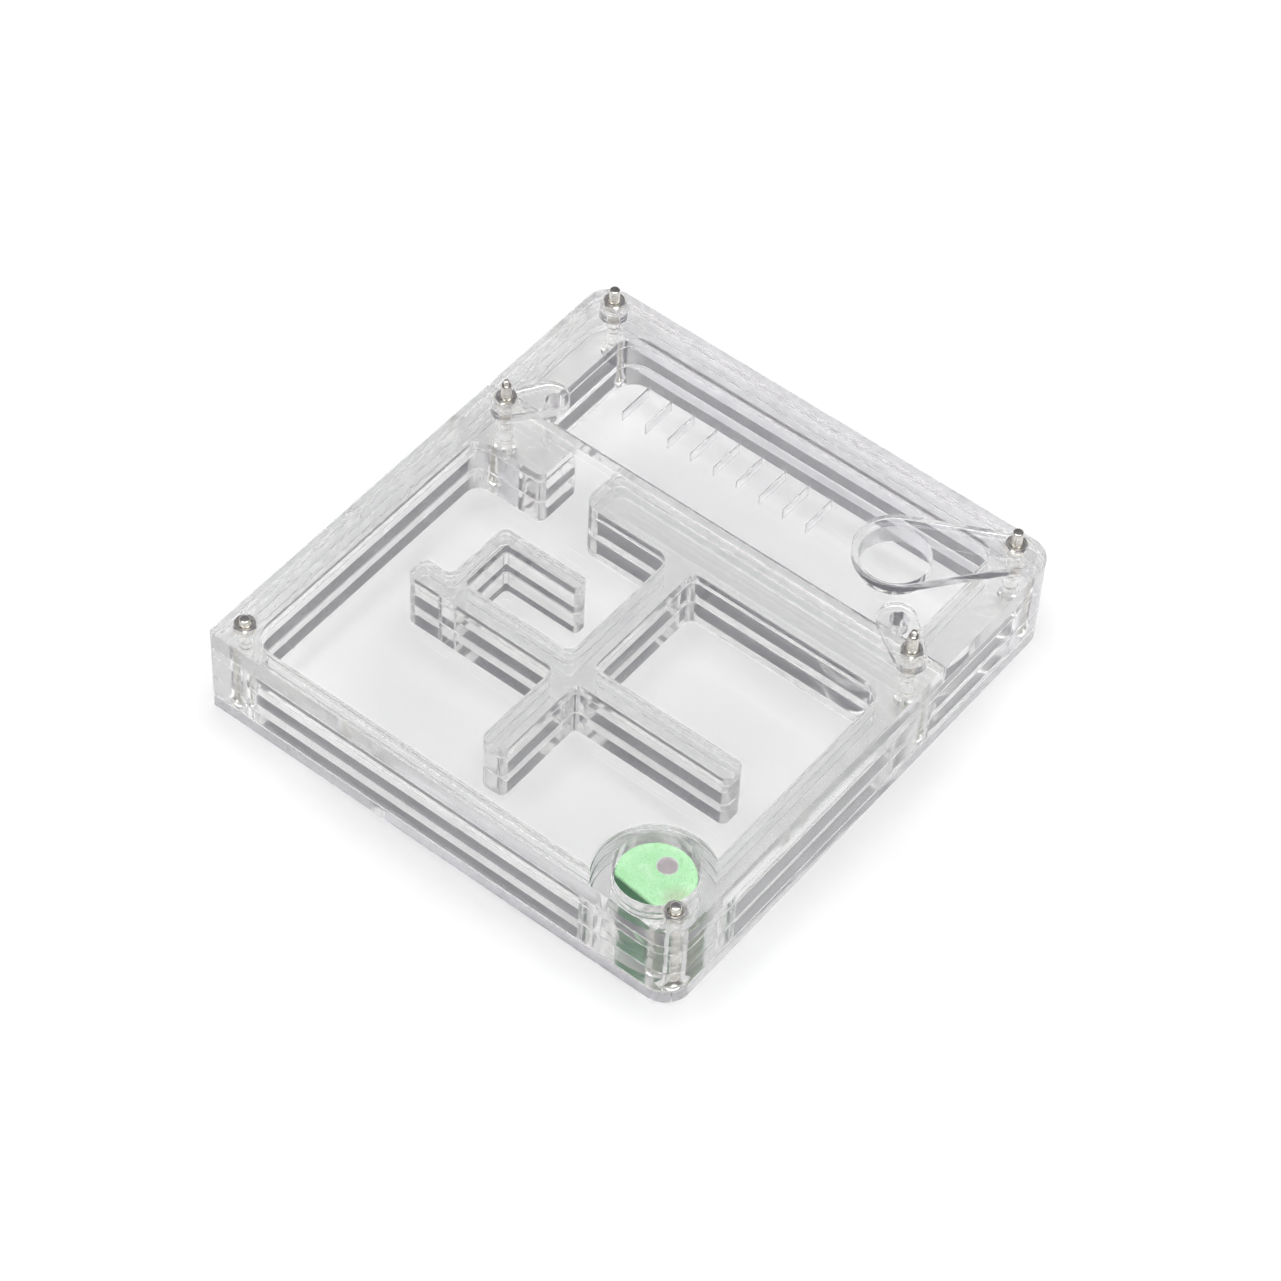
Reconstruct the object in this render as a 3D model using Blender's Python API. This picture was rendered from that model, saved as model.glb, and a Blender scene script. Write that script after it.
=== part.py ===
"""Ant nest built from stacked clear acrylic sheets.

Four full sheets carry a small maze of nest rooms, a foraging room behind it
and a round water well in one corner. Two cover sheets close the rooms. Three
clear plates swing on the rear screws to open or shut the ports in the rear
cover, and a green sponge pad stands in the water well.

Frame: +Z up, origin on the underside of the base sheet at the middle of its
plan outline. +X runs along the front edge and +Y runs to the rear edge.
All constants are in millimetres and are scaled to metres by MM.
"""

import math

import bmesh
import bpy

MM = 0.001

# Plan outline. The front left corner is left square, the others are rounded.
WIDTH = 100.0
DEPTH = 107.0
CORNER_R = 5.0
SQUARE_CORNER_R = 0.5

# Sheet stack, from the table upwards. GAP is the air film between sheets.
BASE_T = 3.0
ROOM_T = 5.0
TOP_T = 2.0
COVER_T = 4.0
GAP = 0.2
BASE_Z = 0.0
LOWER_Z = BASE_Z + BASE_T + GAP
UPPER_Z = LOWER_Z + ROOM_T + GAP
TOP_Z = UPPER_Z + ROOM_T + GAP
COVER_Z = TOP_Z + TOP_T + GAP
DECK_Z = COVER_Z + COVER_T

# The two covers meet in a narrow seam above the divider wall.
SEAM_Y = 20.4
SEAM_GAP = 0.3

# Screws: front pair, middle pair and rear pair. The pattern sits a little
# to the right of the sheet's middle.
SHIFT_X = 0.65
FRONT_X, FRONT_Y = 46.1, -49.3
MIDDLE_X, MIDDLE_Y = 44.2, 17.3
REAR_X, REAR_Y = 44.2, 47.7
SCREW_R = 1.0
HOLE_R = 1.3
HEAD_R = 1.75
HEAD_H = 1.0
HEAD_Z = BASE_Z + BASE_T + 0.3
SINK_R = 2.05
SINK_H = 1.4
NUT_FLATS = 3.9
NUT_H = 1.6
NUT_BORE_R = 1.3
NUT_MOUTH_R = 1.6
NUT_SLOPE = 0.3
TIP_TAPER = 0.2
DOG_R = 0.5
DOG_H = 1.1

# Swinging plates and the loose washer on the rear left screw.
PLATE_T = 2.0
PLATE_Z = DECK_Z + GAP
RAISED_NUT_Z = PLATE_Z + PLATE_T + GAP
FLAT_NUT_Z = DECK_Z + GAP
WASHER_R = 2.7
BIG_END = (29.3, 34.7)
BIG_END_R = 8.0
BIG_BOSS_R = 3.8
SMALL_END_R = 3.5
SMALL_BOSS_R = 2.8
LEFT_END = (-38.75, 23.7)
RIGHT_END = (38.15, 22.4)

# Ports in the rear cover and the open mouth of the water well.
BIG_PORT = (29.1, 34.4)
BIG_PORT_R = 6.4
SMALL_PORT_R = 1.7
LEFT_PORT = (-38.05, 24.2)
RIGHT_PORT = (38.05, 23.3)
WELL = (38.55, -43.7)
WELL_R = 7.3
WELL_WALL_R = 10.9

# Vent slits in the rear cover.
SLIT_COUNT = 9
SLIT_PITCH = 5.07
SLIT_FIRST_X = -27.7
SLIT_Y0, SLIT_Y1 = 30.4, 38.0
SLIT_W = 0.5

# Rooms, as inside faces of the walls.
NEST_X0, NEST_X1 = -44.9, 43.9
NEST_Y0, NEST_Y1 = -48.9, 11.1
FORAGE_X0, FORAGE_X1 = -40.0, 40.7
FORAGE_Y0, FORAGE_Y1 = 21.8, 48.7
PASSAGE_X0, PASSAGE_X1 = -30.15, -21.25
SPINE_X0, SPINE_X1 = -1.75, 3.3
SPINE_END_Y = -40.0
CROSS_Y0, CROSS_Y1 = -20.8, -16.0
CROSS_X0, CROSS_X1 = -34.1, 35.5
HOOK_X0, HOOK_X1 = -28.1, -9.5
HOOK_WALL = 2.8
HOOK_Y1 = -1.8

# Sponge pad: a plug that stands in the well, cut flat on its front side.
PAD_R = 7.0
PAD_CHORD = 4.5
PAD_TURN = math.radians(-6.0)
PAD_Z0 = BASE_Z + BASE_T + 0.3
PAD_H = 14.5
PAD_HOLE = (0.1, 2.8)
PAD_HOLE_R = 1.7
PAD_HOLE_DEPTH = 5.0

ARC_STEP = math.radians(11.25)


def clear_scene():
    for item in list(bpy.data.objects):
        bpy.data.objects.remove(item, do_unlink=True)


def make_material(name, color, roughness, metallic=0.0, transmission=0.0):
    material = bpy.data.materials.new(name)
    material.use_nodes = True
    shader = material.node_tree.nodes["Principled BSDF"]
    shader.inputs["Base Color"].default_value = (*color, 1.0)
    shader.inputs["Roughness"].default_value = roughness
    shader.inputs["Metallic"].default_value = metallic
    shader.inputs["Transmission Weight"].default_value = transmission
    shader.inputs["IOR"].default_value = 1.49
    material.diffuse_color = (*color, 1.0)
    return material


def rounded(corners):
    """Turn (x, y, radius) corners into a closed outline with round corners."""
    outline = []
    count = len(corners)
    for i in range(count):
        x, y, radius = corners[i]
        before = corners[i - 1]
        after = corners[(i + 1) % count]
        ax, ay = before[0] - x, before[1] - y
        bx, by = after[0] - x, after[1] - y
        alen, blen = math.hypot(ax, ay), math.hypot(bx, by)
        ax, ay, bx, by = ax / alen, ay / alen, bx / blen, by / blen
        angle = math.acos(max(-1.0, min(1.0, ax * bx + ay * by)))
        if radius <= 0.0 or angle > math.radians(179.0):
            outline.append((x, y))
            continue
        reach = radius / math.tan(angle / 2)
        mx, my = ax + bx, ay + by
        mlen = math.hypot(mx, my)
        far = radius / math.sin(angle / 2)
        cx, cy = x + mx / mlen * far, y + my / mlen * far
        start = math.atan2(y + ay * reach - cy, x + ax * reach - cx)
        end = math.atan2(y + by * reach - cy, x + bx * reach - cx)
        sweep = (end - start + math.pi) % (2 * math.pi) - math.pi
        steps = max(2, round(abs(sweep) / (2 * ARC_STEP)))
        for k in range(steps + 1):
            a = start + sweep * k / steps
            outline.append((cx + radius * math.cos(a), cy + radius * math.sin(a)))
    return outline


def arc(center, radius, start, end):
    """Points on an arc, from the start angle to the end angle, ends included."""
    steps = max(2, round(abs(end - start) / ARC_STEP))
    points = []
    for k in range(steps + 1):
        a = start + (end - start) * k / steps
        points.append((center[0] + radius * math.cos(a), center[1] + radius * math.sin(a)))
    return points


def link(name, bm, origin=(0.0, 0.0, 0.0)):
    """Make an object from a bmesh in millimetres, with its origin at origin."""
    for vert in bm.verts:
        for axis in range(3):
            vert.co[axis] = (vert.co[axis] - origin[axis]) * MM
    bmesh.ops.recalc_face_normals(bm, faces=bm.faces)
    mesh = bpy.data.meshes.new(name)
    bm.to_mesh(mesh)
    bm.free()
    part = bpy.data.objects.new(name, mesh)
    part.location = [value * MM for value in origin]
    bpy.context.collection.objects.link(part)
    return part


def prism(name, outline, z0, z1, origin=(0.0, 0.0, 0.0)):
    """Extrude a closed plan outline from z0 to z1."""
    bm = bmesh.new()
    floor = [bm.verts.new((x, y, z0)) for x, y in outline]
    face = bm.faces.new(floor)
    lifted = bmesh.ops.extrude_face_region(bm, geom=[face])
    for vert in lifted["geom"]:
        if isinstance(vert, bmesh.types.BMVert):
            vert.co.z = z1
    return link(name, bm, origin)


def turned(name, profile, center, sides, origin=(0.0, 0.0, 0.0), phase=0.0):
    """Revolve (radius, z) points about a vertical line; both ends lie on it."""
    bm = bmesh.new()
    rings = []
    for radius, z in profile:
        if radius <= 0.0:
            rings.append([bm.verts.new((center[0], center[1], z))])
            continue
        ring = []
        for k in range(sides):
            a = phase + 2 * math.pi * k / sides
            x = center[0] + radius * math.cos(a)
            y = center[1] + radius * math.sin(a)
            ring.append(bm.verts.new((x, y, z)))
        rings.append(ring)
    for low, high in zip(rings, rings[1:]):
        for k in range(sides):
            n = (k + 1) % sides
            if len(low) == 1:
                bm.faces.new((low[0], high[n], high[k]))
            elif len(high) == 1:
                bm.faces.new((low[k], low[n], high[0]))
            else:
                bm.faces.new((low[k], low[n], high[n], high[k]))
    return link(name, bm, origin)


def cutter(part):
    part.hide_render = True
    part.display_type = "WIRE"
    return part


def drill(name, center, radius, z0, z1, sides=16):
    profile = [(0.0, z0), (radius, z0), (radius, z1), (0.0, z1)]
    return cutter(turned(name, profile, center, sides))


def boolean(part, tool, operation="DIFFERENCE"):
    modifier = part.modifiers.new(tool.name, "BOOLEAN")
    modifier.operation = operation
    modifier.solver = "EXACT"
    modifier.object = tool


def smooth(part):
    part.data.shade_smooth()
    part.data.set_sharp_from_angle(angle=math.radians(35.0))


def finish(part, material, round_piece=False):
    part.data.materials.append(material)
    if round_piece:
        smooth(part)
    return part


def plan_outline(y0, y1, radii):
    """Outline of a sheet that spans y0..y1; radii are front left, front right,
    rear right and rear left."""
    half = WIDTH / 2
    return rounded([
        (-half, y0, radii[0]),
        (half, y0, radii[1]),
        (half, y1, radii[2]),
        (-half, y1, radii[3]),
    ])


def rooms_outline():
    """One closed outline around every connected room: nest, passage, foraging."""
    well_left = WELL[0] - math.sqrt(WELL_WALL_R ** 2 - (NEST_Y0 - WELL[1]) ** 2)
    well_top = WELL[1] + math.sqrt(WELL_WALL_R ** 2 - (NEST_X1 - WELL[0]) ** 2)
    start = math.atan2(NEST_Y0 - WELL[1], well_left - WELL[0]) + 2 * math.pi
    end = math.atan2(well_top - WELL[1], NEST_X1 - WELL[0])
    bend = arc(WELL, WELL_WALL_R, start, end)
    inner_x = HOOK_X0 + HOOK_WALL
    inner_y = HOOK_Y1 - HOOK_WALL
    corners = [(NEST_X0, NEST_Y0, 4.5)]
    corners += [(x, y, 0.0) for x, y in bend]
    corners += [
        (NEST_X1, NEST_Y1, 3.0),
        (SPINE_X1, NEST_Y1, 1.6),
        (SPINE_X1, CROSS_Y1, 1.2),
        (CROSS_X1, CROSS_Y1, 1.4),
        (CROSS_X1, CROSS_Y0, 1.4),
        (SPINE_X1, CROSS_Y0, 1.2),
        (SPINE_X1, SPINE_END_Y, 1.4),
        (SPINE_X0, SPINE_END_Y, 1.4),
        (SPINE_X0, CROSS_Y0, 1.2),
        (CROSS_X0, CROSS_Y0, 1.4),
        (CROSS_X0, CROSS_Y1, 1.4),
        (HOOK_X0, CROSS_Y1, 1.6),
        (HOOK_X0, HOOK_Y1, 1.6),
        (HOOK_X1, HOOK_Y1, 0.9),
        (HOOK_X1, inner_y, 0.9),
        (inner_x, inner_y, 1.0),
        (inner_x, CROSS_Y1, 1.0),
        (SPINE_X0, CROSS_Y1, 1.6),
        (SPINE_X0, NEST_Y1, 2.2),
        (PASSAGE_X1, NEST_Y1, 3.0),
        (PASSAGE_X1, FORAGE_Y0, 2.0),
        (FORAGE_X1, FORAGE_Y0, 2.0),
        (FORAGE_X1, FORAGE_Y1, 3.5),
        (FORAGE_X0, FORAGE_Y1, 4.5),
        (FORAGE_X0, FORAGE_Y0, 2.5),
        (PASSAGE_X0, FORAGE_Y0, 2.0),
        (PASSAGE_X0, NEST_Y1, 1.6),
        (NEST_X0, NEST_Y1, 3.0),
    ]
    return rounded(corners)


def teardrop(end, end_r, pivot, boss_r):
    """Outline of a swing plate: two circles joined by their outer tangents."""
    dx, dy = pivot[0] - end[0], pivot[1] - end[1]
    length = math.hypot(dx, dy)
    heading = math.atan2(dy, dx)
    lean = math.acos((end_r - boss_r) / length)
    points = arc(end, end_r, heading + lean, heading + 2 * math.pi - lean)
    points += arc(pivot, boss_r, heading - lean, heading + lean)
    return points


SCREWS = {
    "front_left": (SHIFT_X - FRONT_X, FRONT_Y),
    "front_right": (SHIFT_X + FRONT_X, FRONT_Y),
    "middle_left": (SHIFT_X - MIDDLE_X, MIDDLE_Y),
    "middle_right": (SHIFT_X + MIDDLE_X, MIDDLE_Y),
    "rear_left": (SHIFT_X - REAR_X, REAR_Y),
    "rear_right": (SHIFT_X + REAR_X, REAR_Y),
}
# Height of each screw's tip above the face of its nut, and its pointed tip.
STAND_OUT = {
    "front_left": 1.1,
    "front_right": 1.1,
    "middle_left": 4.0,
    "middle_right": 4.6,
    "rear_left": 2.6,
    "rear_right": 2.9,
}
DOG_POINTS = ("middle_left", "middle_right")
FULL_RADII = (SQUARE_CORNER_R, CORNER_R, CORNER_R, CORNER_R)
FRONT_Y0, REAR_Y1 = -DEPTH / 2, DEPTH / 2


def build_base(acrylic):
    outline = plan_outline(FRONT_Y0, REAR_Y1, FULL_RADII)
    finish(prism("base_sheet", outline, BASE_Z, BASE_Z + BASE_T), acrylic)


def build_room_sheets(acrylic):
    """Three sheets with the same cut-outs; the lowest also hides screw heads."""
    rooms = cutter(prism("rooms_cutter", rooms_outline(), LOWER_Z - 2, COVER_Z + 1))
    well = drill("well_cutter", WELL, WELL_R, LOWER_Z - 2, DECK_Z + 2, 48)
    holes = {}
    for key, spot in SCREWS.items():
        holes[key] = drill("hole_" + key, spot, HOLE_R, LOWER_Z - 2, DECK_Z + 2)
    levels = (
        ("room_sheet_lower", LOWER_Z, ROOM_T),
        ("room_sheet_upper", UPPER_Z, ROOM_T),
        ("room_sheet_top", TOP_Z, TOP_T),
    )
    for name, z, thickness in levels:
        outline = plan_outline(FRONT_Y0, REAR_Y1, FULL_RADII)
        sheet = prism(name, outline, z, z + thickness)
        boolean(sheet, rooms)
        boolean(sheet, well)
        for key, spot in SCREWS.items():
            if z != LOWER_Z:
                boolean(sheet, holes[key])
                continue
            profile = [
                (0.0, z - 1.0),
                (SINK_R, z - 1.0),
                (SINK_R, z),
                (HOLE_R, z + SINK_H),
                (HOLE_R, z + thickness + 1.0),
                (0.0, z + thickness + 1.0),
            ]
            boolean(sheet, cutter(turned("sink_" + key, profile, spot, 16)))
        finish(sheet, acrylic)
    return well, holes


def build_covers(acrylic, well, holes):
    front = prism(
        "cover_front",
        plan_outline(FRONT_Y0, SEAM_Y - SEAM_GAP / 2, (SQUARE_CORNER_R, CORNER_R, 0.4, 0.4)),
        COVER_Z,
        DECK_Z,
    )
    boolean(front, well)
    for key in ("front_left", "front_right", "middle_left", "middle_right"):
        boolean(front, holes[key])
    finish(front, acrylic)

    rear = prism(
        "cover_rear",
        plan_outline(SEAM_Y + SEAM_GAP / 2, REAR_Y1, (0.4, 0.4, CORNER_R, CORNER_R)),
        COVER_Z,
        DECK_Z,
    )
    z0, z1 = COVER_Z - 1, DECK_Z + 1
    boolean(rear, drill("big_port_cutter", BIG_PORT, BIG_PORT_R, z0, z1, 48))
    boolean(rear, drill("left_port_cutter", LEFT_PORT, SMALL_PORT_R, z0, z1, 24))
    boolean(rear, drill("right_port_cutter", RIGHT_PORT, SMALL_PORT_R, z0, z1, 24))
    for key in ("rear_left", "rear_right"):
        boolean(rear, holes[key])
    for k in range(SLIT_COUNT):
        x = SLIT_FIRST_X + SLIT_PITCH * k
        x0, x1 = x - SLIT_W / 2, x + SLIT_W / 2
        slit = [(x0, SLIT_Y0), (x1, SLIT_Y0), (x1, SLIT_Y1), (x0, SLIT_Y1)]
        boolean(rear, cutter(prism("slit_cutter_%d" % k, slit, z0, z1)))
    finish(rear, acrylic)


def build_swing_plates(acrylic):
    plates = (
        ("port_plate_big", BIG_END, BIG_END_R, "rear_right", BIG_BOSS_R),
        ("port_plate_left", LEFT_END, SMALL_END_R, "middle_left", SMALL_BOSS_R),
        ("port_plate_right", RIGHT_END, SMALL_END_R, "middle_right", SMALL_BOSS_R),
    )
    z0, z1 = PLATE_Z, PLATE_Z + PLATE_T
    for name, end, end_r, key, boss_r in plates:
        pivot = SCREWS[key]
        origin = (pivot[0], pivot[1], z0)
        outline = teardrop(end, end_r, pivot, boss_r)
        plate = prism(name, outline, z0, z1, origin)
        boolean(plate, drill("pivot_" + name, pivot, HOLE_R, z0 - 1, z1 + 1))
        finish(plate, acrylic)

    spot = SCREWS["rear_left"]
    profile = [
        (HOLE_R, z0),
        (WASHER_R, z0),
        (WASHER_R, z1),
        (HOLE_R, z1),
        (HOLE_R, z0),
    ]
    washer = ring("washer_rear_left", profile, spot, 24)
    finish(washer, acrylic, True)


def ring(name, profile, center, sides, phase=0.0):
    """Revolve a closed (radius, z) loop that stays clear of the axis."""
    bm = bmesh.new()
    loops = []
    for radius, z in profile[:-1]:
        loop = []
        for k in range(sides):
            a = phase + 2 * math.pi * k / sides
            x = center[0] + radius * math.cos(a)
            y = center[1] + radius * math.sin(a)
            loop.append(bm.verts.new((x, y, z)))
        loops.append(loop)
    for i, low in enumerate(loops):
        high = loops[(i + 1) % len(loops)]
        for k in range(sides):
            n = (k + 1) % sides
            bm.faces.new((low[k], low[n], high[n], high[k]))
    return link(name, bm)


def build_fasteners(steel):
    for key, spot in SCREWS.items():
        raised = not key.startswith("front")
        nut_z = RAISED_NUT_Z if raised else FLAT_NUT_Z
        tip = nut_z + NUT_H + STAND_OUT[key]
        profile = [
            (0.0, HEAD_Z),
            (HEAD_R, HEAD_Z),
            (HEAD_R, HEAD_Z + 0.15),
            (SCREW_R, HEAD_Z + HEAD_H),
        ]
        if key in DOG_POINTS:
            shoulder = tip - DOG_H
            profile += [
                (SCREW_R, shoulder - TIP_TAPER),
                (SCREW_R - TIP_TAPER, shoulder),
                (DOG_R, shoulder),
                (DOG_R, tip - 0.15),
                (DOG_R - 0.15, tip),
            ]
        else:
            profile += [
                (SCREW_R, tip - TIP_TAPER),
                (SCREW_R - TIP_TAPER, tip),
            ]
        profile.append((0.0, tip))
        finish(turned("screw_" + key, profile, spot, 16), steel, True)
        build_nut(key, spot, nut_z, steel)


def build_nut(key, spot, z0, steel):
    """Hexagon nut: flats cut on a turned blank with chamfered corners."""
    z1 = z0 + NUT_H
    corner_r = NUT_FLATS / math.sqrt(3)
    face_r = NUT_FLATS / 2 - 0.1
    drop = (corner_r - face_r) * math.tan(math.radians(30.0))
    turn = math.radians(10.0) + 0.31 * list(SCREWS).index(key)
    blank = ring(
        "nut_" + key,
        [
            (NUT_BORE_R, z0 + NUT_SLOPE),
            (NUT_MOUTH_R, z0),
            (face_r, z0),
            (corner_r, z0 + drop),
            (corner_r, z1 - drop),
            (face_r, z1),
            (NUT_MOUTH_R, z1),
            (NUT_BORE_R, z1 - NUT_SLOPE),
            (NUT_BORE_R, z0 + NUT_SLOPE),
        ],
        spot,
        18,
        turn,
    )
    hexagon = []
    for k in range(6):
        a = turn + math.pi / 3 * k
        hexagon.append((spot[0] + corner_r * math.cos(a), spot[1] + corner_r * math.sin(a)))
    flats = cutter(prism("flats_" + key, hexagon, z0 - 1, z1 + 1))
    boolean(blank, flats, "INTERSECT")
    finish(blank, steel, True)


def build_pad(sponge):
    """Round plug with a flat front face and a shallow round hole in its top."""
    half = math.acos(PAD_CHORD / PAD_R)
    middle = -math.pi / 2 + PAD_TURN
    start = middle + half
    points = arc(WELL, PAD_R, start, middle - half + 2 * math.pi)
    pad = prism("sponge_pad", points, PAD_Z0, PAD_Z0 + PAD_H)
    spot = (WELL[0] + PAD_HOLE[0], WELL[1] + PAD_HOLE[1])
    z1 = PAD_Z0 + PAD_H
    boolean(pad, drill("pad_hole_cutter", spot, PAD_HOLE_R, z1 - PAD_HOLE_DEPTH, z1 + 1, 24))
    finish(pad, sponge)


def main():
    clear_scene()
    acrylic = make_material("clear_acrylic", (0.93, 0.95, 0.95), 0.03, 0.0, 1.0)
    plate = make_material("clear_acrylic_plate", (0.95, 0.96, 0.96), 0.03, 0.0, 1.0)
    steel = make_material("nickel_plated_steel", (0.78, 0.76, 0.70), 0.22, 1.0)
    sponge = make_material("green_sponge", (0.40, 0.88, 0.44), 0.9)
    build_base(acrylic)
    well, holes = build_room_sheets(acrylic)
    build_covers(acrylic, well, holes)
    build_swing_plates(plate)
    build_fasteners(steel)
    build_pad(sponge)


main()
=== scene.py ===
"""Looks of the clear ant nest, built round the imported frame.

Every acrylic sheet is rebuilt with finely divided curves, eased edges and
separate finishes for its polished faces and its laser-cut edges. Screws get a
thread and a socket, nuts get chamfered corners, and the sponge gets pores.
Sizes are in millimetres unless a comment says otherwise; heights are read from
the frame's nodes.
"""

import math

import bmesh
import bpy
from mathutils import Matrix, Vector, noise
from mathutils.geometry import tessellate_polygon


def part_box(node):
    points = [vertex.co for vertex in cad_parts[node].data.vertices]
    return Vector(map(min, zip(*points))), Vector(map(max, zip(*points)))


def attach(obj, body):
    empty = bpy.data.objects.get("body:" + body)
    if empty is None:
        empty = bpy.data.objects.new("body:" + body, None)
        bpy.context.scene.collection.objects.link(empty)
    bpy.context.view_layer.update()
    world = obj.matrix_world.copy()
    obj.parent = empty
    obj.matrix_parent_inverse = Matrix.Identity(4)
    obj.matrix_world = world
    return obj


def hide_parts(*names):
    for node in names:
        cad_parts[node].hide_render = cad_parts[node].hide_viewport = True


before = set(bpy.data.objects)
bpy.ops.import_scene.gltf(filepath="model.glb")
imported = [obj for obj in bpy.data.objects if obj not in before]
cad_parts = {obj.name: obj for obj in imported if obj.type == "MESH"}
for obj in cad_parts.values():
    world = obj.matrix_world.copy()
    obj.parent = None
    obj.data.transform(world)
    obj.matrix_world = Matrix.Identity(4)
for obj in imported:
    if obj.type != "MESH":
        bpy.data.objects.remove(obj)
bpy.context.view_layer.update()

MM = 0.001
ARC_STEP = math.radians(3.0)
ARC_LEAST = 4
STRAIGHT = math.radians(179.0)
SAME_POINT = 1e-4
LEAST_STRETCH = 0.5

# Plan of the nest.
HALF_W, HALF_D = 50.0, 53.5
CORNER_R = 5.0
SQUARE_CORNER_R = 0.5
SEAM_Y, SEAM_GAP = 20.4, 0.3
HOLE_R = 1.3
SINK_R, SINK_H = 2.05, 1.4
WASHER_R = 2.7
BIG_END, BIG_END_R, BIG_BOSS_R = (29.3, 34.7), 8.0, 3.8
LEFT_END, RIGHT_END = (-38.75, 23.7), (38.15, 22.4)
SMALL_END_R, SMALL_BOSS_R = 3.5, 2.8
BIG_PORT, BIG_PORT_R = (29.1, 34.4), 6.4
LEFT_PORT, RIGHT_PORT, SMALL_PORT_R = (-38.05, 24.2), (38.05, 23.3), 1.7
WELL, WELL_R, WELL_WALL_R = (38.55, -43.7), 7.3, 10.9
SLIT_COUNT, SLIT_PITCH, SLIT_FIRST_X = 9, 5.07, -27.7
SLIT_Y0, SLIT_Y1, SLIT_DRAWN = 30.4, 38.0, 0.28
NEST_X0, NEST_X1, NEST_Y0, NEST_Y1 = -44.9, 43.9, -48.9, 11.1
FORAGE_X0, FORAGE_X1, FORAGE_Y0, FORAGE_Y1 = -40.0, 40.7, 21.8, 48.7
PASSAGE_X0, PASSAGE_X1 = -30.15, -21.25
SPINE_X0, SPINE_X1, SPINE_END_Y = -1.75, 3.3, -40.0
CROSS_Y0, CROSS_Y1, CROSS_X0, CROSS_X1 = -20.8, -16.0, -34.1, 35.5
HOOK_X0, HOOK_X1, HOOK_WALL, HOOK_Y1 = -28.1, -9.5, 2.8, -1.8
PAD_R, PAD_CHORD, PAD_TURN = 7.0, 4.5, math.radians(-6.0)
PAD_HOLE, PAD_HOLE_R, PAD_HOLE_DEPTH = (0.1, 2.8), 1.7, 5.0

# Edges of the sheets.
SHEET_EASE, REAR_COVER_EASE, PLATE_EASE = 0.09, 0.035, 0.12
SEAM_CORNER_R = 0.4
SLIT_ROUND = 0.45
SIDE_SLACK = 0.1
SIDE_SHARE = 0.7
SINK_MATCH = 0.2
THIN_TRIANGLE = 1e-9
FACE_SLOT, EDGE_SLOT, LEFT_SLOT, REAR_SLOT = 0, 1, 2, 3

# Nuts: a plain bore that widens to a mouth at each face.
NUT_FLATS, NUT_SIDES = 3.9, 96
NUT_FACE_IN, NUT_RIM_DROP, NUT_SLOPE = 0.08, 0.02, math.tan(math.radians(30.0))
NUT_BORE_R, NUT_MOUTH_R, NUT_MOUTH_H = 1.13, 1.42, 0.32
NUT_TURN, NUT_TURN_STEP = math.radians(10.0), 0.31
NUT_SHARP = 24.0

# Screws. Rows are (share or radius, height from the level that they belong to).
SCREW_SIDES, SCREW_SHARP = 40, 34.0
SOCKET_FLATS = 1.2
SOCKET_ROWS = ((0.2, 0.7), (0.96, 0.7), (1.0, 0.05), (1.08, 0.0))
HEAD_ROWS = ((1.68, 0.0), (1.75, 0.05), (1.75, 0.15), (0.97, 1.0))
THREAD_PITCH, THREAD_DEPTH, THREAD_R = 0.4, 0.10, 0.985
THREAD_LEVELS, THREAD_HALF = 7, 0.42
THREAD_FROM, THREAD_STOP = 1.05, 0.14
FADE_FROM, FADE_OVER = 1.2, 0.6
PHASE_STEP = 1.7
DOG_H = 1.1
PLAIN_TIP = ((0.93, -0.10), (0.84, -0.02), (0.70, 0.0))
DOG_SHOULDER = ((0.94, -0.10), (0.80, 0.0), (0.52, 0.0), (0.50, 0.06))
DOG_TIP = ((0.50, -0.16), (0.44, -0.05), (0.32, 0.0))

# Sponge: how far its solid starts inside the frame's, and its surface.
PAD_IN_SIDE, PAD_IN_END, PUNCH_OVER = 0.15, 0.1, 1.0
PAD_VOXEL = 0.26
SWELL_SCALE, SWELL_DEPTH = 0.45, 0.05
PIT_SCALE, PIT_REACH, PIT_DEPTH = 1.15, 0.42, -0.30
# Painted shade darkens the foam's lower sides: fully dark this far below its top, not darkened
# above this.
PAINTED_SHADE_BELOW, UNSHADED_ABOVE = 1.1, 0.35
STAIN_AT, STAIN_INNER, STAIN_OUTER, STAIN_LEAST = (5.6, -1.6), 1.2, 3.4, 0.55
# The hole's pale pinkish tint, partly its own colour and partly painted light, fades out over
# these distances past the hole's edge.
PALE_HOLE_INNER, PALE_HOLE_OUTER = 0.02, 0.22

# Finishes. Bump depths are in metres.
ACRYLIC_IOR = 1.49
WAVE_BUMP = 0.00001
RIPPLE_BUMP, PATCH_BUMP = 0.000007, 0.000012
TURNING_BUMP = 0.000004
PORE_BUMP, FINE_BUMP = 0.00009, 0.00003

# Table, in metres: painted shade makes it a little darker under the nest than round it.
TABLE_HALF, TABLE_Z = 3.0, -0.0001
SHADE_INNER, SHADE_OUTER, SHADE = 0.045, 0.075, -0.14
TABLE_DARK, TABLE_LIGHT, TABLE_ROUGH = 0.965, 0.985, 0.9

# Light: grey level by the sine of the height above the horizon.
RING = (0.0365, 0.036, 0.0397)
SKY = (
    (0.0, (0.195, 0.195, 0.195)),
    (0.30, (0.136, 0.136, 0.136)),
    (0.46, (0.10, 0.10, 0.10)),
    (0.60, RING),
    (0.86, RING),
    (0.93, (1.0, 1.0, 1.0)),
    (0.976, (1.0, 1.0, 1.0)),
    (0.987, (0.06, 0.06, 0.06)),
    (1.0, (0.06, 0.06, 0.06)),
)
SKY_STRENGTH = 4.85
# Light crosses many clear walls, and reflection inside them counts as glossy.
LIGHT_BOUNCES = 96

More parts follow.
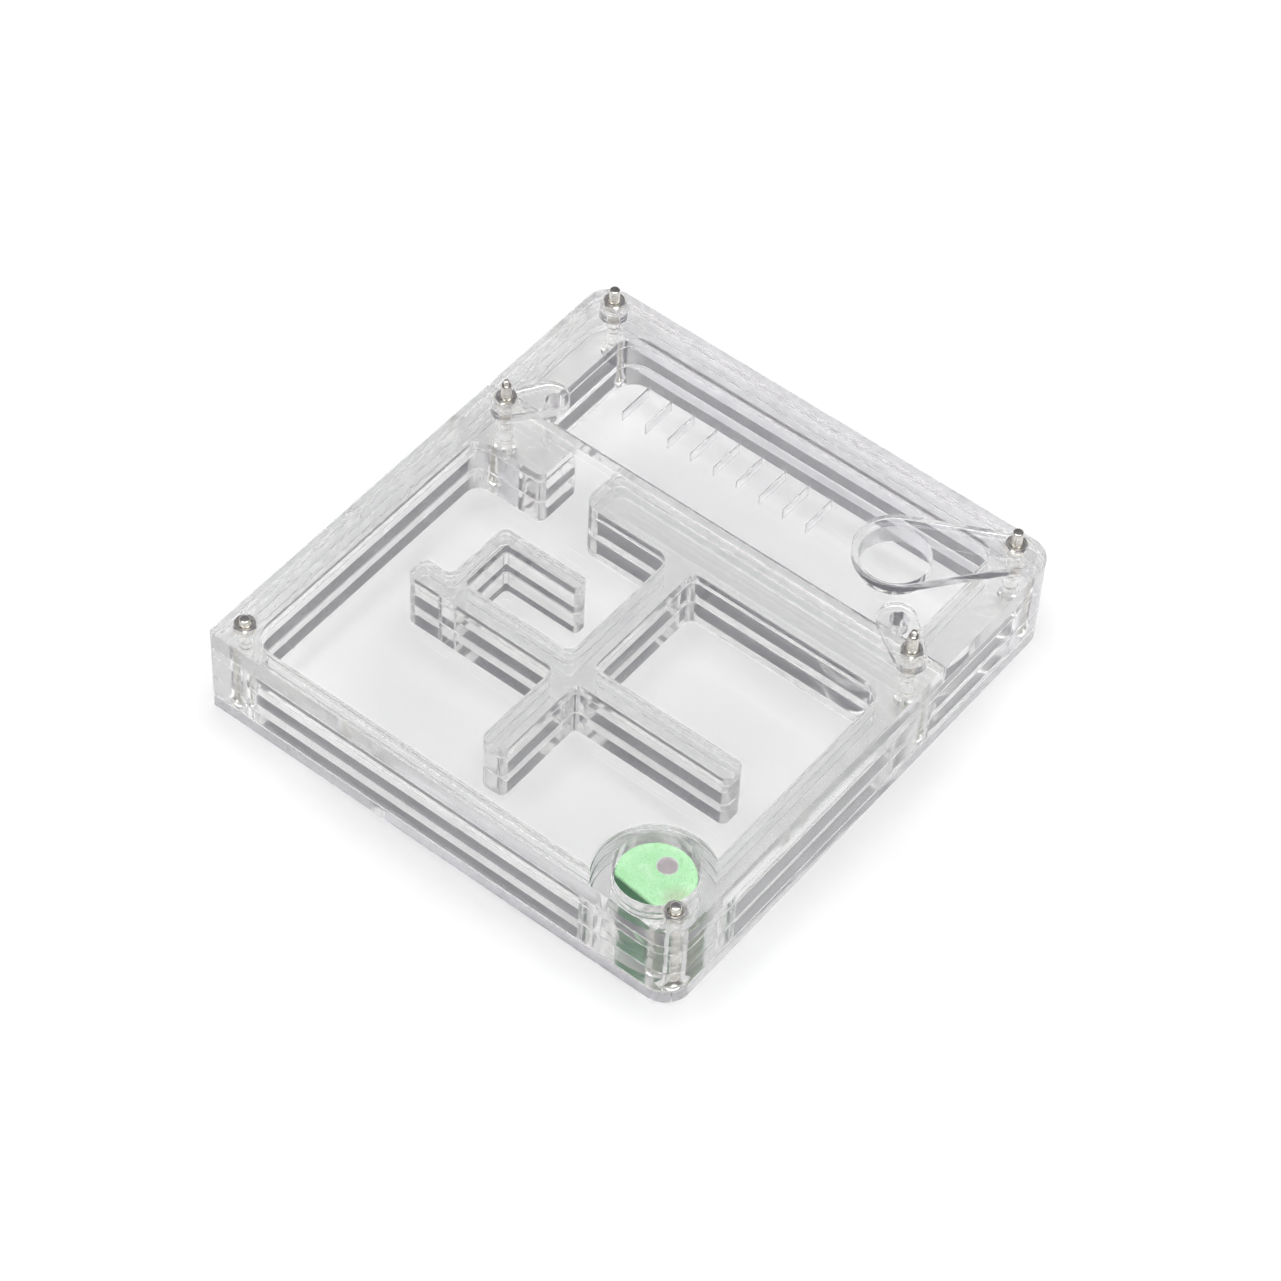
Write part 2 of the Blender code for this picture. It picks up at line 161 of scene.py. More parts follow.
# Camera fitted to the photo: lengths in photo pixels or millimetres, angles in radians.
PHOTO_WIDTH, FOCAL = 1281.0, 4366.99
VIEW_TURN, VIEW_LIFT, VIEW_ROLL = 0.6267, 0.8878, 0.0574
VIEW_X, VIEW_Y, VIEW_AWAY = -1.0851, 4.1284, 759.4048
SENSOR, CLIP_NEAR, CLIP_FAR = 36.0, 0.01, 20.0

KEYS = ("front_left", "front_right", "middle_left", "middle_right", "rear_left", "rear_right")


def middle(node):
    """Plan centre of a node."""
    low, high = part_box(node)
    return ((low.x + high.x) / 2 / MM, (low.y + high.y) / 2 / MM)


def heights(node):
    """Bottom and top of a node."""
    low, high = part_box(node)
    return low.z / MM, high.z / MM


SCREWS = {key: middle("screw_" + key) for key in KEYS}


def set_stops(node, stops):
    """Fill a colour ramp node with (place, colour) stops in rising order."""
    points = node.color_ramp.elements
    for place, _ in stops[1:-1]:
        points.new(place)
    for point, (place, color) in zip(points, stops):
        point.position = place
        point.color = (*color, 1.0)


# ---------------------------------------------------------------- materials

class Nodes:
    """Small helper that keeps node graphs short to write."""

    def __init__(self, name):
        self.material = bpy.data.materials.new(name)
        self.material.use_nodes = True
        self.tree = self.material.node_tree
        self.shader = self.tree.nodes["Principled BSDF"]
        self.where = self.add("ShaderNodeTexCoord").outputs["Object"]

    def add(self, kind, **values):
        node = self.tree.nodes.new(kind)
        for key, value in values.items():
            setattr(node, key, value)
        return node

    def link(self, source, target):
        self.tree.links.new(source, target)

    def scaled(self, scale):
        node = self.add("ShaderNodeMapping")
        node.inputs["Scale"].default_value = scale
        self.link(self.where, node.inputs["Vector"])
        return node.outputs["Vector"]

    def noise(self, scale, detail, roughness=0.5):
        node = self.add("ShaderNodeTexNoise")
        node.inputs["Scale"].default_value = 1.0
        node.inputs["Detail"].default_value = detail
        node.inputs["Roughness"].default_value = roughness
        self.link(self.scaled(scale), node.inputs["Vector"])
        return node.outputs["Fac"]

    def remap(self, value, low, high, new_low, new_high):
        node = self.add("ShaderNodeMapRange")
        node.inputs["From Min"].default_value = low
        node.inputs["From Max"].default_value = high
        node.inputs["To Min"].default_value = new_low
        node.inputs["To Max"].default_value = new_high
        self.link(value, node.inputs["Value"])
        return node.outputs["Result"]

    def ramp(self, value, stops):
        node = self.add("ShaderNodeValToRGB")
        set_stops(node, stops)
        self.link(value, node.inputs["Fac"])
        return node.outputs["Color"]

    def mixed(self, factor, first, second):
        node = self.add("ShaderNodeMix", data_type="RGBA")
        self.link(factor, node.inputs["Factor"])
        for value, socket in ((first, node.inputs[6]), (second, node.inputs[7])):
            if isinstance(value, bpy.types.NodeSocket):
                self.link(value, socket)
            else:
                socket.default_value = value
        return node.outputs[2]

    def near(self, spot, inner, outer, least=0.0):
        """The least value inside one radius of an upright axis, 1 beyond the other."""
        shift = self.add("ShaderNodeVectorMath", operation="SUBTRACT")
        self.link(self.where, shift.inputs[0])
        shift.inputs[1].default_value = (spot[0] * MM, spot[1] * MM, 0.0)
        flat = self.add("ShaderNodeVectorMath", operation="MULTIPLY")
        self.link(shift.outputs["Vector"], flat.inputs[0])
        flat.inputs[1].default_value = (1.0, 1.0, 0.0)
        reach = self.add("ShaderNodeVectorMath", operation="LENGTH")
        self.link(flat.outputs["Vector"], reach.inputs[0])
        return self.remap(reach.outputs["Value"], inner * MM, outer * MM, least, 1.0)

    def bump(self, height, distance, strength=1.0, before=None):
        node = self.add("ShaderNodeBump")
        node.inputs["Strength"].default_value = strength
        node.inputs["Distance"].default_value = distance
        self.link(height, node.inputs["Height"])
        if before is not None:
            self.link(before, node.inputs["Normal"])
        return node.outputs["Normal"]

    def set(self, **values):
        for key, value in values.items():
            socket = self.shader.inputs[key.replace("_", " ")]
            if isinstance(value, bpy.types.NodeSocket):
                self.link(value, socket)
            else:
                socket.default_value = value


def clear_face():
    """Polished sheet face: faint smears and a slow waviness from casting."""
    n = Nodes("acrylic_face")
    smear = n.noise((60.0, 140.0, 60.0), 4.0, 0.6)
    n.set(
        Base_Color=n.ramp(smear, [(0.3, (0.996, 0.997, 0.995)), (0.7, (1.0, 1.0, 0.999))]),
        Roughness=n.remap(smear, 0.45, 0.8, 0.0, 0.02),
        Normal=n.bump(n.noise((35.0, 35.0, 35.0), 1.0), WAVE_BUMP, 0.4),
        IOR=ACRYLIC_IOR,
        Transmission_Weight=1.0,
    )
    return n.material


def cut_edge(name, dark, light, rough):
    """Laser-cut edge: fine upright ripples and patches of more or less frost."""
    n = Nodes(name)
    ripple = n.noise((2100.0, 2100.0, 45.0), 2.0, 0.6)
    patch = n.noise((240.0, 240.0, 160.0), 3.0, 0.55)
    first = n.bump(ripple, RIPPLE_BUMP)
    n.set(
        Base_Color=n.ramp(patch, [(0.35, dark), (0.65, light)]),
        Roughness=n.remap(patch, 0.3, 0.7, rough[0], rough[1]),
        Normal=n.bump(patch, PATCH_BUMP, 0.5, first),
        IOR=ACRYLIC_IOR,
        Transmission_Weight=1.0,
    )
    return n.material


def bright_metal(name, rough, dark, light):
    """Nickel plating: slight clouding and hairline turning marks."""
    n = Nodes(name)
    cloud = n.noise((900.0, 900.0, 900.0), 3.0)
    rings = n.noise((300.0, 300.0, 9000.0), 2.0)
    n.set(
        Base_Color=n.ramp(cloud, [(0.3, dark), (0.7, light)]),
        Roughness=n.remap(cloud, 0.3, 0.7, rough[0], rough[1]),
        Normal=n.bump(rings, TURNING_BUMP, 0.6),
        Metallic=1.0,
    )
    return n.material


def foam():
    """Green foam: light on top, dark lower down with painted shade, and pale in its hole, partly
    its own colour and partly painted light.
    """
    n = Nodes("green_foam")
    top = heights("sponge_pad")[1]
    pores = n.add("ShaderNodeTexVoronoi")
    n.link(n.scaled((2600.0, 2600.0, 2600.0)), pores.inputs["Vector"])
    pores.inputs["Scale"].default_value = 1.0
    cloud = n.noise((330.0, 330.0, 330.0), 4.0, 0.6)
    fine = n.noise((5200.0, 5200.0, 5200.0), 2.0)
    pit = n.remap(pores.outputs["Distance"], 0.1, 0.6, 0.0, 1.0)
    unshaded_green = n.ramp(cloud, [
        (0.30, (0.42, 0.80, 0.43)),
        (0.55, (0.50, 0.86, 0.51)),
        (0.75, (0.62, 0.90, 0.62)),
    ])
    # Painted shade: the dark greens that the foam's sides take on lower down.
    painted_shade_green = n.ramp(cloud, [(0.30, (0.035, 0.15, 0.06)), (0.70, (0.07, 0.24, 0.11))])
    place = n.add("ShaderNodeSeparateXYZ")
    n.link(n.where, place.inputs[0])
    low, high = (top - PAINTED_SHADE_BELOW) * MM, (top - UNSHADED_ABOVE) * MM
    tint = n.mixed(n.remap(place.outputs["Z"], low, high, 0.0, 1.0), painted_shade_green, unshaded_green)
    stain_at = (WELL[0] + STAIN_AT[0], WELL[1] + STAIN_AT[1])
    stain = n.near(stain_at, STAIN_INNER, STAIN_OUTER, STAIN_LEAST)
    tint = n.mixed(stain, (0.50, 0.42, 0.36, 1.0), tint)
    # The hole's pale pinkish tint: partly its own colour, partly painted light against its shade.
    hole_at = (WELL[0] + PAD_HOLE[0], WELL[1] + PAD_HOLE[1])
    pale_hole_painted_light = n.near(hole_at, PAD_HOLE_R + PALE_HOLE_INNER, PAD_HOLE_R + PALE_HOLE_OUTER)
    tint = n.mixed(pale_hole_painted_light, (0.97, 0.93, 0.945, 1.0), tint)
    shade = n.ramp(pit, [(0.0, (0.62, 0.74, 0.62)), (0.45, (1.0, 1.0, 1.0))])
    pored = n.add("ShaderNodeMix", data_type="RGBA", blend_type="MULTIPLY")
    pored.inputs["Factor"].default_value = 0.8
    n.link(tint, pored.inputs[6])
    n.link(shade, pored.inputs[7])
    first = n.bump(pit, PORE_BUMP, 0.8)
    n.set(
        Base_Color=pored.outputs[2],
        Roughness=n.remap(cloud, 0.3, 0.7, 0.60, 0.85),
        Normal=n.bump(fine, FINE_BUMP, 0.6, first),
        Specular_IOR_Level=0.4,
        Sheen_Weight=0.15,
    )
    return n.material


FACE = clear_face()
CUT = cut_edge(
    "acrylic_cut_edge", (0.90, 0.898, 0.890), (0.960, 0.958, 0.952), (0.04, 0.12)
)
DULL_CUT = cut_edge(
    "acrylic_dull_edge", (0.945, 0.942, 0.940), (0.985, 0.983, 0.980), (0.16, 0.30)
)
# Rear edges: frosted, with a grey-violet tint that is painted shade standing in for the darker
# backdrop seen through the rear wall.
FROSTED_PAINTED_SHADE_CUT = cut_edge(
    "acrylic_frosted_edge_painted_shade", (0.60, 0.59, 0.64), (0.72, 0.71, 0.75), (0.45, 0.60)
)
PLATE_CUT = cut_edge(
    "acrylic_plate_edge", (0.955, 0.955, 0.950), (0.988, 0.988, 0.985), (0.05, 0.14)
)
METAL = bright_metal("nickel_screws", (0.10, 0.18), (0.60, 0.58, 0.54), (0.80, 0.78, 0.74))
NUT_METAL = bright_metal("nickel_nuts", (0.15, 0.24), (0.76, 0.74, 0.70), (0.92, 0.91, 0.88))
FOAM = foam()


# ------------------------------------------------------------------ outlines

def rounded(corners):
    """Turn (x, y, radius) corners into a closed outline with round corners."""
    outline = []
    count = len(corners)
    for i in range(count):
        x, y, radius = corners[i]
        before = corners[i - 1]
        after = corners[(i + 1) % count]
        ax, ay = before[0] - x, before[1] - y
        bx, by = after[0] - x, after[1] - y
        alen, blen = math.hypot(ax, ay), math.hypot(bx, by)
        ax, ay, bx, by = ax / alen, ay / alen, bx / blen, by / blen
        angle = math.acos(max(-1.0, min(1.0, ax * bx + ay * by)))
        if radius <= 0.0 or angle > STRAIGHT:
            outline.append((x, y))
            continue
        reach = radius / math.tan(angle / 2)
        mx, my = ax + bx, ay + by
        mlen = math.hypot(mx, my)
        far = radius / math.sin(angle / 2)
        cx, cy = x + mx / mlen * far, y + my / mlen * far
        start = math.atan2(y + ay * reach - cy, x + ax * reach - cx)
        end = math.atan2(y + by * reach - cy, x + bx * reach - cx)
        sweep = (end - start + math.pi) % (2 * math.pi) - math.pi
        steps = max(ARC_LEAST, round(abs(sweep) / (2 * ARC_STEP)))
        for k in range(steps + 1):
            a = start + sweep * k / steps
            outline.append((cx + radius * math.cos(a), cy + radius * math.sin(a)))
    return outline


def arc(center, radius, start, end, ends=True):
    """Points along an arc; ends=False leaves out the last one."""
    steps = max(ARC_LEAST, round(abs(end - start) / ARC_STEP))
    points = []
    for k in range(steps + 1 if ends else steps):
        a = start + (end - start) * k / steps
        points.append((center[0] + radius * math.cos(a), center[1] + radius * math.sin(a)))
    return points


def circle(center, radius):
    return arc(center, radius, 0.0, 2 * math.pi, ends=False)


def plan(y0, y1, radii):
    """Full-width sheet outline; radii run from the front left corner, anticlockwise."""
    return rounded([
        (-HALF_W, y0, radii[0]),
        (HALF_W, y0, radii[1]),
        (HALF_W, y1, radii[2]),
        (-HALF_W, y1, radii[3]),
    ])


def rooms_outline():
    """One closed outline around every connected room: nest, passage, foraging."""
    well_left = WELL[0] - math.sqrt(WELL_WALL_R ** 2 - (NEST_Y0 - WELL[1]) ** 2)
    well_top = WELL[1] + math.sqrt(WELL_WALL_R ** 2 - (NEST_X1 - WELL[0]) ** 2)
    start = math.atan2(NEST_Y0 - WELL[1], well_left - WELL[0]) + 2 * math.pi
    end = math.atan2(well_top - WELL[1], NEST_X1 - WELL[0])
    inner_x = HOOK_X0 + HOOK_WALL
    inner_y = HOOK_Y1 - HOOK_WALL
    corners = [(NEST_X0, NEST_Y0, 4.5)]
    corners += [(x, y, 0.0) for x, y in arc(WELL, WELL_WALL_R, start, end)]
    corners += [
        (NEST_X1, NEST_Y1, 3.0),
        (SPINE_X1, NEST_Y1, 1.6),
        (SPINE_X1, CROSS_Y1, 1.2),
        (CROSS_X1, CROSS_Y1, 1.4),
        (CROSS_X1, CROSS_Y0, 1.4),
        (SPINE_X1, CROSS_Y0, 1.2),
        (SPINE_X1, SPINE_END_Y, 1.4),
        (SPINE_X0, SPINE_END_Y, 1.4),
        (SPINE_X0, CROSS_Y0, 1.2),
        (CROSS_X0, CROSS_Y0, 1.4),
        (CROSS_X0, CROSS_Y1, 1.4),
        (HOOK_X0, CROSS_Y1, 1.6),
        (HOOK_X0, HOOK_Y1, 1.6),
        (HOOK_X1, HOOK_Y1, 0.9),
        (HOOK_X1, inner_y, 0.9),
        (inner_x, inner_y, 1.0),
        (inner_x, CROSS_Y1, 1.0),
        (SPINE_X0, CROSS_Y1, 1.6),
        (SPINE_X0, NEST_Y1, 2.2),
        (PASSAGE_X1, NEST_Y1, 3.0),
        (PASSAGE_X1, FORAGE_Y0, 2.0),
        (FORAGE_X1, FORAGE_Y0, 2.0),
        (FORAGE_X1, FORAGE_Y1, 3.5),
        (FORAGE_X0, FORAGE_Y1, 4.5),
        (FORAGE_X0, FORAGE_Y0, 2.5),
        (PASSAGE_X0, FORAGE_Y0, 2.0),
        (PASSAGE_X0, NEST_Y1, 1.6),
        (NEST_X0, NEST_Y1, 3.0),
    ]
    return rounded(corners)


def teardrop(end, end_r, pivot, boss_r):
    """Outline of a swing plate: two circles joined by their outer tangents."""
    dx, dy = pivot[0] - end[0], pivot[1] - end[1]
    heading = math.atan2(dy, dx)
    lean = math.acos((end_r - boss_r) / math.hypot(dx, dy))
    points = arc(end, end_r, heading + lean, heading + 2 * math.pi - lean)
    points += arc(pivot, boss_r, heading - lean, heading + lean)
    return points


def area(loop):
    """Signed area of a loop, positive when it turns anticlockwise."""
    total = 0.0
    for i, (x, y) in enumerate(loop):
        px, py = loop[i - 1]
        total += px * y - x * py
    return total / 2


def wound(loop, positive):
    """The loop without doubled points, turning the way asked for."""
    clean = []
    for point in loop:
        if not clean or math.dist(point, clean[-1]) > SAME_POINT:
            clean.append(point)
    if math.dist(clean[0], clean[-1]) < SAME_POINT:
        clean.pop()
    if (area(clean) > 0) != positive:
        clean.reverse()
    return clean


def inset(loop, amount):
    """Move a loop towards the material, which lies on its left."""
    moved = []
    count = len(loop)
    for i in range(count):
        ax, ay = loop[i - 1]
        x, y = loop[i]
        bx, by = loop[(i + 1) % count]
        ux, uy = x - ax, y - ay
        vx, vy = bx - x, by - y
        ul, vl = math.hypot(ux, uy), math.hypot(vx, vy)
        nx, ny = -uy / ul - vy / vl, ux / ul + vx / vl
        nl = math.hypot(nx, ny)
        nx, ny = nx / nl, ny / nl
        stretch = max(LEAST_STRETCH, nx * -uy / ul + ny * ux / ul)
        moved.append((x + nx * amount / stretch, y + ny * amount / stretch))
    return moved


# -------------------------------------------------------------------- pieces

def add_object(name, bm, materials, body, replaces, sharp=30.0):
    """Turn a millimetre mesh into a finished piece that rides a body."""
    for vert in bm.verts:
        vert.co *= MM
    mesh = bpy.data.meshes.new(name)
    bm.to_mesh(mesh)
    bm.free()
    for material in materials:
        mesh.materials.append(material)
    mesh.shade_smooth()
    mesh.set_sharp_from_angle(angle=math.radians(sharp))
    piece = bpy.data.objects.new(name, mesh)
    bpy.context.scene.collection.objects.link(piece)
    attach(piece, body)
    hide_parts(replaces)


def side_finish(first, second, ease):
    """Material slot of an outline strip, by the side of the nest that it faces."""
    run_x, run_y = second.x - first.x, second.y - first.y
    share = SIDE_SHARE * math.hypot(run_x, run_y)
    if run_x < -share and first.y > HALF_D - ease - SIDE_SLACK:
        return REAR_SLOT
    if run_y < -share and first.x < SIDE_SLACK - HALF_W + ease:
        return LEFT_SLOT
    return EDGE_SLOT


def fill_flat(bm, rings, level, flip):
    """Close one flat face of a sheet between its outline and its holes."""
    flat = [[vert.co.copy() for vert in ring[level]] for ring in rings]
    verts = [vert for ring in rings for vert in ring[level]]
    for tri in tessellate_polygon(flat):
        corner = [verts[i] for i in tri]
        ax, ay = corner[1].co.x - corner[0].co.x, corner[1].co.y - corner[0].co.y
        bx, by = corner[2].co.x - corner[0].co.x, corner[2].co.y - corner[0].co.y
        turn = ax * by - ay * bx
        if abs(turn) < THIN_TRIANGLE:
            continue
        if (turn > 0) == flip:
            corner.reverse()
        bm.faces.new(corner).material_index = FACE_SLOT


def sheet(name, node, outer, holes, body="nest",
          edge=None, ease=SHEET_EASE, sinks=()):
    """A flat sheet with holes; its edges are eased and carry the cut finish.

    A full-width sheet has a dull left side and a frosted rear side whose grey-violet
    tint is painted shade. sinks are (centre, wide radius, depth) cones cut round a
    hole from below.
    """
    z0, z1 = heights(node)
    loops = [wound(outer, True)] + [wound(hole, False) for hole in holes]
    sunk = {}
    for spot, wide, depth in sinks:
        for k, loop in enumerate(loops[1:], 1):
            cx = sum(p[0] for p in loop) / len(loop)
            cy = sum(p[1] for p in loop) / len(loop)
            if math.dist((cx, cy), spot) < SINK_MATCH:
                sunk[k] = (spot, wide, depth)
    bm = bmesh.new()
    rings = []
    for k, loop in enumerate(loops):
        tight = inset(loop, ease)
        levels = [(z0, tight), (z0 + ease, loop), (z1 - ease, loop), (z1, tight)]
        if k in sunk:
            (sx, sy), wide, depth = sunk[k]
            grow = wide / HOLE_R
            cone = [(sx + (x - sx) * grow, sy + (y - sy) * grow) for x, y in loop]
            levels[0] = (z0, cone)
            levels[1] = (z0 + depth, loop)
        rings.append([[bm.verts.new((x, y, z)) for x, y in points] for z, points in levels])
    full_width = max(x for x, y in outer) > HALF_W - SIDE_SLACK
    for ring in rings:
        for low, high in zip(ring, ring[1:]):
            for i in range(len(low)):
                after = (i + 1) % len(low)
                face = bm.faces.new((low[i], low[after], high[after], high[i]))
                if ring is rings[0] and full_width:
                    face.material_index = side_finish(low[i].co, low[after].co, ease)
                else:
                    face.material_index = EDGE_SLOT
    fill_flat(bm, rings, 0, True)
    fill_flat(bm, rings, -1, False)
    materials = [FACE, edge or CUT]
    if full_width:
        materials += [DULL_CUT, FROSTED_PAINTED_SHADE_CUT]
    add_object(name, bm, materials, body, node)


def build_sheets():
    full = plan(-HALF_D, HALF_D, (SQUARE_CORNER_R, CORNER_R, CORNER_R, CORNER_R))
    rooms = rooms_outline()
    well = circle(WELL, WELL_R)
    bores = [circle(spot, HOLE_R) for spot in SCREWS.values()]
    sinks = [(spot, SINK_R, SINK_H) for spot in SCREWS.values()]
    sheet("base_panel", "base_sheet", full, [])
    sheet("lower_room_panel", "room_sheet_lower", full, [rooms, well] + bores, sinks=sinks)
    sheet("upper_room_panel", "room_sheet_upper", full, [rooms, well] + bores)
    sheet("top_room_panel", "room_sheet_top", full, [rooms, well] + bores)
    front_radii = (SQUARE_CORNER_R, CORNER_R, SEAM_CORNER_R, SEAM_CORNER_R)
    front = plan(-HALF_D, SEAM_Y - SEAM_GAP / 2, front_radii)
    front_bores = [circle(SCREWS[key], HOLE_R) for key in KEYS[:4]]
    sheet("front_cover_panel", "cover_front", front, [well] + front_bores)
    rear_radii = (SEAM_CORNER_R, SEAM_CORNER_R, CORNER_R, CORNER_R)
    rear = plan(SEAM_Y + SEAM_GAP / 2, HALF_D, rear_radii)
    cuts = [circle(SCREWS[key], HOLE_R) for key in KEYS[4:]]
    cuts.append(circle(BIG_PORT, BIG_PORT_R))
    cuts.append(circle(LEFT_PORT, SMALL_PORT_R))
    cuts.append(circle(RIGHT_PORT, SMALL_PORT_R))
    for k in range(SLIT_COUNT):
        x0 = SLIT_FIRST_X + SLIT_PITCH * k - SLIT_DRAWN / 2
        x1 = x0 + SLIT_DRAWN
        r = SLIT_DRAWN * SLIT_ROUND
        corners = ((x0, SLIT_Y0), (x1, SLIT_Y0), (x1, SLIT_Y1), (x0, SLIT_Y1))
        cuts.append(rounded([(x, y, r) for x, y in corners]))
    sheet("rear_cover_panel", "cover_rear", rear, cuts, ease=REAR_COVER_EASE)


def build_plates():
    big, small = (BIG_END_R, BIG_BOSS_R), (SMALL_END_R, SMALL_BOSS_R)
    plates = (
        ("big_port_cover", "port_plate_big", "big_plate", BIG_END, "rear_right", big),
        ("left_port_cover", "port_plate_left", "left_plate", LEFT_END, "middle_left", small),
        ("right_port_cover", "port_plate_right", "right_plate", RIGHT_END, "middle_right", small),
    )
    for name, node, body, end, key, (end_r, boss_r) in plates:
        outline = teardrop(end, end_r, SCREWS[key], boss_r)
        hole = circle(SCREWS[key], HOLE_R)
        sheet(name, node, outline, [hole], body, PLATE_CUT, PLATE_EASE)
    spot = SCREWS["rear_left"]
    disc, hole = circle(spot, WASHER_R), circle(spot, HOLE_R)
    sheet("clear_washer", "washer_rear_left", disc, [hole],
          "nest", PLATE_CUT, PLATE_EASE)


def hex_reach(angle, flats):
    """Distance from a hexagon's centre to its side in the given direction."""
    part = (angle + math.pi / 6) % (math.pi / 3) - math.pi / 6
    return flats / 2 / math.cos(part)


def stitched(bm, rows, closed=False):
    """Join successive rings of vertices with quads."""
    pairs = list(zip(rows, rows[1:]))
    if closed:
        pairs.append((rows[-1], rows[0]))
    for low, high in pairs:
        for i in range(len(low)):
            after = (i + 1) % len(low)
            bm.faces.new((low[i], low[after], high[after], high[i]))


def bm_point(spot, radius, angle, z):
    return (spot[0] + radius * math.cos(angle), spot[1] + radius * math.sin(angle), z)


def nut_ring(kind, reach):
    """Radius of one ring of a nut, and how far it lies in from the flat face."""
    face_r = NUT_FLATS / 2 - NUT_FACE_IN
    if kind == "bore":
        return NUT_BORE_R, NUT_MOUTH_H
    if kind == "mouth":
        return NUT_MOUTH_R, 0.0
    if kind == "face":
        return face_r, 0.0
    return reach, (reach - face_r) * NUT_SLOPE + NUT_RIM_DROP


def build_nut(key):
    """Hexagon nut with turned chamfers and a plain bore with widened mouths."""
    spot = SCREWS[key]
    z0, z1 = heights("nut_" + key)
    turn = NUT_TURN + NUT_TURN_STEP * KEYS.index(key)
    kinds = ("bore", "mouth", "face", "edge")
    levels = [(kind, z0, 1.0) for kind in kinds]
    levels += [(kind, z1, -1.0) for kind in reversed(kinds)]
    bm = bmesh.new()
    made = []
    for kind, level, inwards in levels:
        row = []
        for k in range(NUT_SIDES):
            a = turn + 2 * math.pi * k / NUT_SIDES
            radius, drop = nut_ring(kind, hex_reach(a - turn - math.pi / 6, NUT_FLATS))
            row.append(bm.verts.new(bm_point(spot, radius, a, level + inwards * drop)))
        made.append(row)
    stitched(bm, made, closed=True)
    bmesh.ops.recalc_face_normals(bm, faces=bm.faces)
    add_object(key + "_nut", bm, (NUT_METAL,), "nest", "nut_" + key, NUT_SHARP)


def build_screw(key):
    """Countersunk screw with a hexagon socket, a thread and its tip."""
    spot = SCREWS[key]
    z0, z1 = heights("screw_" + key)
    phase = PHASE_STEP * KEYS.index(key)
    dog = key.startswith("middle")
    shoulder = z1 - DOG_H if dog else z1
    bm = bmesh.new()
    made = []

    def ring(radius_of, z):
        angles = [2 * math.pi * k / SCREW_SIDES for k in range(SCREW_SIDES)]
        made.append([bm.verts.new(bm_point(spot, radius_of(a), a, z)) for a in angles])

    def turned(rows, level):
        for radius, rise in rows:
            ring(lambda a, radius=radius: radius, level + rise)

    for share, rise in SOCKET_ROWS:
        ring(lambda a, share=share: hex_reach(a, SOCKET_FLATS) * share, z0 + rise)
    turned(HEAD_ROWS, z0)
    z = z0 + THREAD_FROM
    while z < shoulder - THREAD_STOP:
        fade = min(1.0, max(0.0, (z - z0 - FADE_FROM) / FADE_OVER))

        def thread(a, level=z, fade=fade):
            turn = (level / THREAD_PITCH - a / (2 * math.pi) + phase) % 1.0
            groove = max(0.0, 1.0 - abs(turn - 0.5) / THREAD_HALF)
            return THREAD_R - THREAD_DEPTH * fade * groove

        ring(thread, z)
        z += THREAD_PITCH / THREAD_LEVELS
    if dog:
        turned(DOG_SHOULDER, shoulder)
        turned(DOG_TIP, z1)
    else:
        turned(PLAIN_TIP, shoulder)
    stitched(bm, made)
    bm.faces.new(list(reversed(made[0])))
    bm.faces.new(made[-1])
    bmesh.ops.recalc_face_normals(bm, faces=bm.faces)
    add_object(key + "_screw", bm, (METAL,), "nest", "screw_" + key, SCREW_SHARP)


def prism(name, outline, low, high):
    """A closed upright solid on an outline, as an object in the scene."""
    bm = bmesh.new()
    floor = [bm.verts.new((x * MM, y * MM, low * MM)) for x, y in outline]
    roof = [bm.verts.new((x * MM, y * MM, high * MM)) for x, y in outline]
    stitched(bm, [floor, roof])
    bm.faces.new(list(reversed(floor)))
    bm.faces.new(roof)
    mesh = bpy.data.meshes.new(name)
    bm.to_mesh(mesh)
    bm.free()
    solid = bpy.data.objects.new(name, mesh)
    bpy.context.scene.collection.objects.link(solid)
    return solid


def build_sponge():
    """Foam plug with a flat front and a punched hole, remeshed and roughened."""
    z0, z1 = heights("sponge_pad")
    half = math.acos(PAD_CHORD / PAD_R)
    front = -math.pi / 2 + PAD_TURN
    side = arc(WELL, PAD_R - PAD_IN_SIDE, front + half, front - half + 2 * math.pi)
    hole = circle((WELL[0] + PAD_HOLE[0], WELL[1] + PAD_HOLE[1]), PAD_HOLE_R)
    piece = prism("green_sponge", wound(side, True), z0 + PAD_IN_END, z1 - PAD_IN_END)
    tool = prism("punch", wound(hole, True), z1 - PAD_HOLE_DEPTH, z1 + PUNCH_OVER)
    cut = piece.modifiers.new("punch", "BOOLEAN")
    cut.object = tool
    cut.solver = "EXACT"
    voxels = piece.modifiers.new("voxels", "REMESH")
    voxels.mode = "VOXEL"
    voxels.voxel_size = PAD_VOXEL * MM
    relax = piece.modifiers.new("relax", "SMOOTH")
    relax.factor = 0.5
    relax.iterations = 3
    bpy.context.view_layer.update()
    graph = bpy.context.evaluated_depsgraph_get()
    solid = bpy.data.meshes.new_from_object(piece.evaluated_get(graph))
    piece.modifiers.clear()
    piece.data = solid
    bpy.data.objects.remove(tool, do_unlink=True)
    normals = [vert.normal.copy() for vert in solid.vertices]
    for vert, normal in zip(solid.vertices, normals):
        spot = vert.co / MM
        swell = noise.noise(spot * SWELL_SCALE) * SWELL_DEPTH
        near = noise.voronoi(spot * PIT_SCALE)[0][0]
        pit = max(0.0, PIT_REACH - near) * PIT_DEPTH
        vert.co += normal * (swell + pit) * MM
    solid.materials.clear()
    solid.materials.append(FOAM)
    solid.shade_smooth()
    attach(piece, "nest")
    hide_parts("sponge_pad")


# --------------------------------------------------------------------- stage

